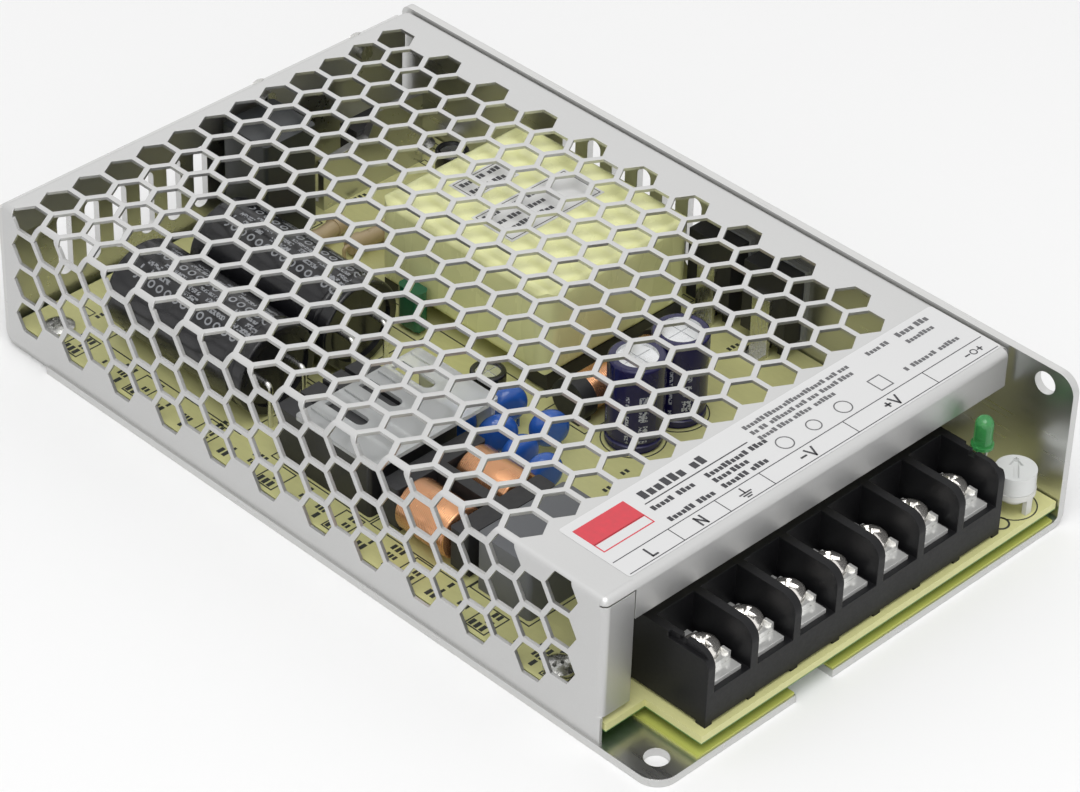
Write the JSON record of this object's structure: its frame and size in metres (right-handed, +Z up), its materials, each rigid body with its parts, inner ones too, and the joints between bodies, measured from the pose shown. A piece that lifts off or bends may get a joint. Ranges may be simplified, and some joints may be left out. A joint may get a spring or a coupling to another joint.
{
  "type": "mesh case switching power supply",
  "caption": "Open-front switching power supply: circuit board in a folded aluminium chassis under a hexagon-perforated cover, with a screw terminal block, trimmer and lamp.",
  "frame": {"origin": "bottom centre of the case", "axes": "+X towards the solid chassis wall, -Y towards the terminal block, +Z up"},
  "size_m": [0.097, 0.159, 0.03],
  "materials": {
    "sheet_aluminium": "satin",
    "cover_steel": "satin",
    "screw_steel": "satin",
    "insulation_film": "satin",
    "board": "satin",
    "plated_steel": "satin",
    "block_plastic": "satin",
    "white_plastic": "satin",
    "green_lens": "gloss",
    "tinned_wire": "satin",
    "black_sleeve": "gloss",
    "blue_sleeve": "gloss",
    "blue_coating": "gloss",
    "grey_plastic": "satin",
    "green_coating": "gloss",
    "yellow_tape": "satin",
    "black_plastic": "satin",
    "ferrite": "matte",
    "copper_wire": "satin",
    "clear_plastic": "gloss",
    "tan_coating": "satin",
    "grey_rubber": "matte"
  },
  "bodies": {
    "case": {"chassis": "sheet_aluminium", "mesh_cover": "cover_steel", "cover_screws": "screw_steel", "insulation_sheet": "insulation_film", "circuit_board": "board", "board_pillars": "plated_steel", "board_screws": "screw_steel", "terminal_block": "block_plastic", "contact_plates": "plated_steel", "trimmer_base": "white_plastic", "lamp_lens": "green_lens", "lamp_legs": "tinned_wire", "bulk_capacitor_left": "black_sleeve", "bulk_capacitor_right": "black_sleeve", "bulk_capacitor_leads": "tinned_wire", "output_capacitor_left": "blue_sleeve", "output_capacitor_right": "blue_sleeve", "aux_capacitor": "black_sleeve", "bypass_capacitor": "black_sleeve", "disc_capacitors": "blue_coating", "line_capacitor": "grey_plastic", "green_capacitor": "green_coating", "transformer_winding": "yellow_tape", "transformer_bobbin": "black_plastic", "filter_choke_core": "ferrite", "filter_choke_windings": "copper_wire", "mains_choke": "black_plastic", "mains_choke_cover": "clear_plastic", "output_choke_core": "ferrite", "output_choke_winding": "copper_wire", "resistors": "tan_coating", "rear_heat_sink": "sheet_aluminium", "rear_transistor": "black_plastic", "inrush_relay": "black_plastic", "wall_rectifiers": "black_plastic", "wall_pads": "grey_rubber", "wall_clips": "plated_steel"},
    "trimmer": {"trimmer_knob": "white_plastic"},
    "clamp_1": {"clamp_plate_1": "plated_steel"},
    "screw_1": {"terminal_screw_1": "screw_steel"},
    "clamp_2": {"clamp_plate_2": "plated_steel"},
    "screw_2": {"terminal_screw_2": "screw_steel"},
    "clamp_3": {"clamp_plate_3": "plated_steel"},
    "screw_3": {"terminal_screw_3": "screw_steel"},
    "clamp_4": {"clamp_plate_4": "plated_steel"},
    "screw_4": {"terminal_screw_4": "screw_steel"},
    "clamp_5": {"clamp_plate_5": "plated_steel"},
    "screw_5": {"terminal_screw_5": "screw_steel"},
    "clamp_6": {"clamp_plate_6": "plated_steel"},
    "screw_6": {"terminal_screw_6": "screw_steel"},
    "clamp_7": {"clamp_plate_7": "plated_steel"},
    "screw_7": {"terminal_screw_7": "screw_steel"}
  },
  "joints": [
    {"name": "trimmer_turn", "type": "hinge", "parent": "case", "child": "trimmer", "pos_m": [0.0407, -0.0745, 0.0095], "axis": [0, 0, 1], "range_deg": [-120, 120]},
    {"name": "clamp_1_lift", "type": "slide", "parent": "case", "child": "clamp_1", "axis": [0, 0, 1], "range_m": [0, 0.003]},
    {"name": "screw_1_turn", "type": "hinge", "parent": "clamp_1", "child": "screw_1", "pos_m": [-0.03112, -0.0712, 0.01355], "axis": [0, 0, 1], "range_deg": [0, 1800.1]},
    {"name": "clamp_2_lift", "type": "slide", "parent": "case", "child": "clamp_2", "axis": [0, 0, 1], "range_m": [0, 0.003]},
    {"name": "screw_2_turn", "type": "hinge", "parent": "clamp_2", "child": "screw_2", "pos_m": [-0.02138, -0.0712, 0.01355], "axis": [0, 0, 1], "range_deg": [0, 1800.1]},
    {"name": "clamp_3_lift", "type": "slide", "parent": "case", "child": "clamp_3", "axis": [0, 0, 1], "range_m": [0, 0.003]},
    {"name": "screw_3_turn", "type": "hinge", "parent": "clamp_3", "child": "screw_3", "pos_m": [-0.01162, -0.0712, 0.01355], "axis": [0, 0, 1], "range_deg": [0, 1800.1]},
    {"name": "clamp_4_lift", "type": "slide", "parent": "case", "child": "clamp_4", "axis": [0, 0, 1], "range_m": [0, 0.003]},
    {"name": "screw_4_turn", "type": "hinge", "parent": "clamp_4", "child": "screw_4", "pos_m": [-0.00187, -0.0712, 0.01355], "axis": [0, 0, 1], "range_deg": [0, 1800.1]},
    {"name": "clamp_5_lift", "type": "slide", "parent": "case", "child": "clamp_5", "axis": [0, 0, 1], "range_m": [0, 0.003]},
    {"name": "screw_5_turn", "type": "hinge", "parent": "clamp_5", "child": "screw_5", "pos_m": [0.00788, -0.0712, 0.01355], "axis": [0, 0, 1], "range_deg": [0, 1800.1]},
    {"name": "clamp_6_lift", "type": "slide", "parent": "case", "child": "clamp_6", "axis": [0, 0, 1], "range_m": [0, 0.003]},
    {"name": "screw_6_turn", "type": "hinge", "parent": "clamp_6", "child": "screw_6", "pos_m": [0.01762, -0.0712, 0.01355], "axis": [0, 0, 1], "range_deg": [0, 1800.1]},
    {"name": "clamp_7_lift", "type": "slide", "parent": "case", "child": "clamp_7", "axis": [0, 0, 1], "range_m": [0, 0.003]},
    {"name": "screw_7_turn", "type": "hinge", "parent": "clamp_7", "child": "screw_7", "pos_m": [0.02738, -0.0712, 0.01355], "axis": [0, 0, 1], "range_deg": [0, 1800.1]}
  ],
  "couplings": [
    {"joint": "screw_1_turn", "follows": "clamp_1_lift", "rad_per_m": 10472},
    {"joint": "screw_2_turn", "follows": "clamp_2_lift", "rad_per_m": 10472},
    {"joint": "screw_3_turn", "follows": "clamp_3_lift", "rad_per_m": 10472},
    {"joint": "screw_4_turn", "follows": "clamp_4_lift", "rad_per_m": 10472},
    {"joint": "screw_5_turn", "follows": "clamp_5_lift", "rad_per_m": 10472},
    {"joint": "screw_6_turn", "follows": "clamp_6_lift", "rad_per_m": 10472},
    {"joint": "screw_7_turn", "follows": "clamp_7_lift", "rad_per_m": 10472}
  ]
}
